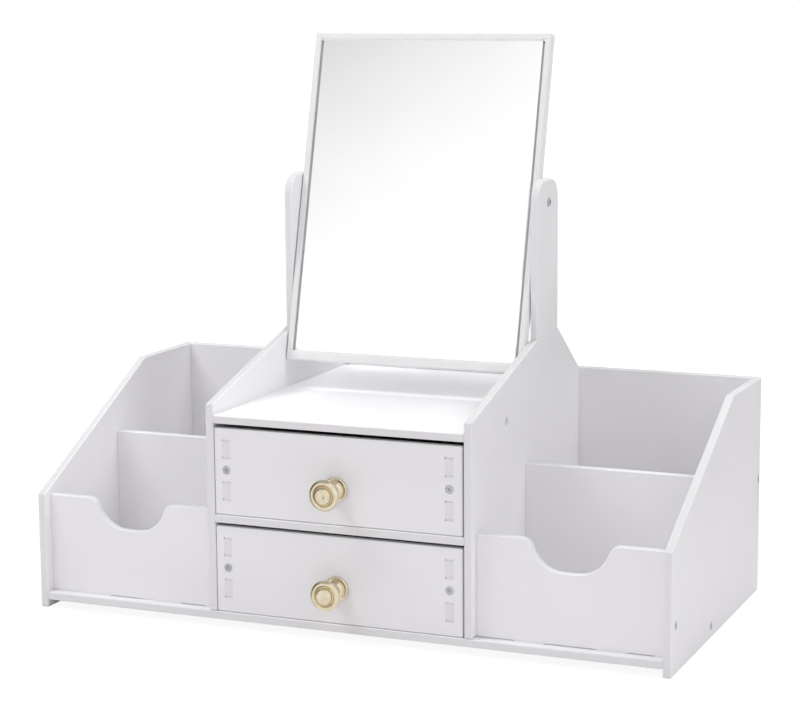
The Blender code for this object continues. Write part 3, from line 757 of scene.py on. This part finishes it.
def mirror_beads(stand):
    """The seams round the glass and between the rails, in the mirror's own upright frame."""
    pieces = {**rails, "glass": nodes["mirror_glass"], "backing": nodes["mirror_backing"]}
    spread = {}
    for name, piece in pieces.items():
        upright = stand.inverted() @ piece.matrix_world
        places = zip(*(upright @ corner.co for corner in piece.data.vertices))
        spread[name] = [(min(line), max(line)) for line in places]
    (inner, outer), (face, rear), (low, high) = spread["right"]
    glass_sides, (glass_face, glass_rear), _ = spread["glass"]
    top, bottom = spread["top"][2][0], spread["bottom"][2][1]
    runs = []
    for seam in ((high - CHAMFER, top + CHAMFER), (bottom - CHAMFER, low + CHAMFER)):
        runs.append(((-inner, inner), (glass_face + WIPED, rear - WIPED), seam))
        for sign in (-1, 1):
            ends = sorted((sign * inner, sign * (outer - WIPED)))
            runs.append((ends, (face + WIPED, rear - WIPED), seam))
    for drop, rise in TOP_FILLET:
        deep = (glass_face - rise, glass_face + SEAM)
        runs.append((glass_sides, deep, (top - drop, top + CHAMFER)))
    backing_side = spread["backing"][0][1]
    for sign in (-1, 1):
        ends = sorted((sign * (backing_side - CHAMFER), sign * (inner + CHAMFER)))
        runs.append((ends, (glass_rear, rear - WIPED), (low, high)))
    return runs


# The rails and the backing carry the painted shade of the rail tones and the painted light of their
# edges.
rail_board_painted_light_and_shade = satin_board("satin_board_rails", FACING, RAIL_PAINTED_SHADE_TONES, RAIL_EDGE_PAINTED_LIGHT_TONES)
rails = {name: spread_rail(name) for name in ("top", "bottom", "left", "right")}
paint(nodes["mirror_backing"], rail_board_painted_light_and_shade)
paint(nodes["mirror_glass"], silvered_glass())

nylon = dark_nylon()
for side in ("left", "right"):
    paint(nodes[side + "_pivot_washer"], nylon)

joints = frame["record"]["behaviour"]["joints"]
pivot = next(joint["pos_m"] for joint in joints if joint["name"] == "mirror_tilt")
mirror_stand = Matrix.Translation(pivot) @ Matrix.Rotation(-TILT, 4, "X")
beads("mirror_glue", "mirror", mirror_beads(mirror_stand), mirror_stand)


# The table top and the studio.
# A wide pale floor, seen white but for the organizer's faint soft shadow, in a room that is lit from
# the front and the right, with large soft lamps above. The camera stands where the photographer did.
FLOOR_SIZE = 3.0
FLOOR_TONE = (0.80, 0.78, 0.80)
FLOOR_MATT = 0.9
FLOOR_LIFT = 0.86
FLOOR_SPAN = (0.35, 0.80)
FLOOR_WHITE = (1.06, 1.20)
FLOOR_DARK_WAYS = {"left": ((-1, 0.6, 0), (-0.08, 0.08)), "rear": ((0, 1, 0), (0.15, 0.60))}
FLOOR_DARK = (1.0, 0.28)
ROOM_LIGHT = {"front": ((0, -1, 0), 0.80), "right": ((1, 0, 0), 0.47)}
BACKDROP_WAY = (-0.85, 0, 1)
BACKDROP_SPAN = (0.67, 0.86)
BACKDROP_LIGHT = (1.05, 0.52)
LEFT_WAY = (-1, 0, 0)
LEFT_SPAN = (0.62, 0.88)
LEFT_LIGHT = (1.0, 0.26)
REAR_WAY = (0, 1, 0)
REAR_SPAN = (0.10, 0.70)
REAR_LIGHT = (1.0, 0.30)
LAMPS = {
    "above_left": {"place": (-0.8, -0.5, 1.6), "size": 0.9, "power": 14.6},
    "above_right": {"place": (1.3, -0.1, 1.5), "size": 0.9, "power": 10.2},
    "above_back": {"place": (0.0, 0.7, 1.7), "size": 0.9, "power": 16.0},
}
LAMP_AIM = Vector((0, 0, 0.15))
CAMERA_PLACE = Vector((0.65117, -1.53474, 0.46987))
CAMERA_YAW = math.radians(22.858)
CAMERA_PITCH = math.radians(9.464)
CAMERA_ROLL = math.radians(-0.4354)
CAMERA_LENS = 100.38
CAMERA_SENSOR = 36


def ray_is(tree, kind):
    """1 for a ray of that kind, such as Camera or Glossy."""
    return tree.nodes.new("ShaderNodeLightPath").outputs[f"Is {kind} Ray"]


def seen_directly(tree):
    """1 for a ray from the camera, a reflection or clear glass."""
    glossy_or_camera = maths(tree, "MAXIMUM", ray_is(tree, "Camera"), ray_is(tree, "Glossy"))
    return maths(tree, "MAXIMUM", glossy_or_camera, ray_is(tree, "Transmission"))


def studio_floor():
    """Pale and matt. What looks at it directly or in a reflection sees it nearly white."""
    material, tree, shader = new_material("studio_floor")
    shader.inputs["Base Color"].default_value = (*FLOOR_TONE, 1)
    shader.inputs["Roughness"].default_value = FLOOR_MATT
    place = tree.nodes.new("ShaderNodeTexCoord")
    away = tree.nodes.new("ShaderNodeVectorMath")
    away.operation = "LENGTH"
    tree.links.new(place.outputs["Object"], away.inputs[0])
    plain = fading(tree, away.outputs["Value"], FLOOR_SPAN, FLOOR_WHITE)
    darker = [
        fading(tree, along(tree, "Object", way), span, FLOOR_DARK)
        for way, span in FLOOR_DARK_WAYS.values()
    ]
    reflected = maths(tree, "MULTIPLY", *darker)
    white = tree.nodes.new("ShaderNodeEmission")
    strength = mixed(tree, ray_is(tree, "Glossy"), plain, reflected, "FLOAT")
    tree.links.new(strength, white.inputs["Strength"])
    lifted = tree.nodes.new("ShaderNodeMixShader")
    lifted.inputs["Fac"].default_value = FLOOR_LIFT
    tree.links.new(shader.outputs["BSDF"], lifted.inputs[1])
    tree.links.new(white.outputs["Emission"], lifted.inputs[2])
    shown = tree.nodes.new("ShaderNodeMixShader")
    tree.links.new(seen_directly(tree), shown.inputs["Fac"])
    tree.links.new(shader.outputs["BSDF"], shown.inputs[1])
    tree.links.new(lifted.outputs["Shader"], shown.inputs[2])
    tree.links.new(shown.outputs["Shader"], tree.nodes["Material Output"].inputs["Surface"])
    return material


def room_light(tree):
    """The light of the walls, strongest straight from each way named and none across it."""
    walls = []
    for way, strength in ROOM_LIGHT.values():
        towards = along(tree, "Generated", Vector(way) * strength)
        walls.append(maths(tree, "MAXIMUM", towards, 0.0))
    return maths(tree, "ADD", *walls)


def backdrop(tree):
    """The room seen directly: white, greyer high up, and in reflections dark at left and rear."""
    plain = fading(tree, along(tree, "Generated", BACKDROP_WAY), BACKDROP_SPAN, BACKDROP_LIGHT)
    left = fading(tree, along(tree, "Generated", LEFT_WAY), LEFT_SPAN, LEFT_LIGHT)
    rear = fading(tree, along(tree, "Generated", REAR_WAY), REAR_SPAN, REAR_LIGHT)
    reflected = maths(tree, "MULTIPLY", plain, maths(tree, "MULTIPLY", left, rear))
    return mixed(tree, ray_is(tree, "Glossy"), plain, reflected, "FLOAT")


floor_mesh = bpy.data.meshes.new("studio_floor")
corners = ((-1, -1), (1, -1), (1, 1), (-1, 1))
places = [(x * FLOOR_SIZE, y * FLOOR_SIZE, 0) for x, y in corners]
floor_mesh.from_pydata(places, [], [(0, 1, 2, 3)])
floor = add_object("studio_floor", floor_mesh)
paint(floor, studio_floor())
floor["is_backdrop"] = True

world = bpy.data.worlds.new("bright_room")
bpy.context.scene.world = world
world.use_nodes = True
room = world.node_tree
strength = mixed(room, seen_directly(room), room_light(room), backdrop(room), "FLOAT")
room.nodes["Background"].inputs["Color"].default_value = (1, 1, 1, 1)
room.links.new(strength, room.nodes["Background"].inputs["Strength"])

for name, lamp in LAMPS.items():
    light = bpy.data.lights.new(name, "AREA")
    light.shape = "DISK"
    light.size = lamp["size"]
    light.energy = lamp["power"]
    stand = add_object(name, light)
    stand.location = lamp["place"]
    stand.rotation_euler = (LAMP_AIM - Vector(lamp["place"])).to_track_quat("-Z", "Y").to_euler()
    stand.visible_glossy = False

camera_data = bpy.data.cameras.new("camera")
camera_data.lens = CAMERA_LENS
camera_data.sensor_width = CAMERA_SENSOR
camera = add_object("camera", camera_data)
tilt = Matrix.Rotation(math.radians(90) - CAMERA_PITCH, 4, "X")
turn = Matrix.Rotation(CAMERA_YAW, 4, "Z") @ tilt
roll = Matrix.Rotation(CAMERA_ROLL, 4, "Z")
camera.matrix_world = Matrix.Translation(CAMERA_PLACE) @ turn @ roll
bpy.context.scene.camera = camera
bpy.context.scene.view_settings.view_transform = "Standard"

low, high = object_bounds()
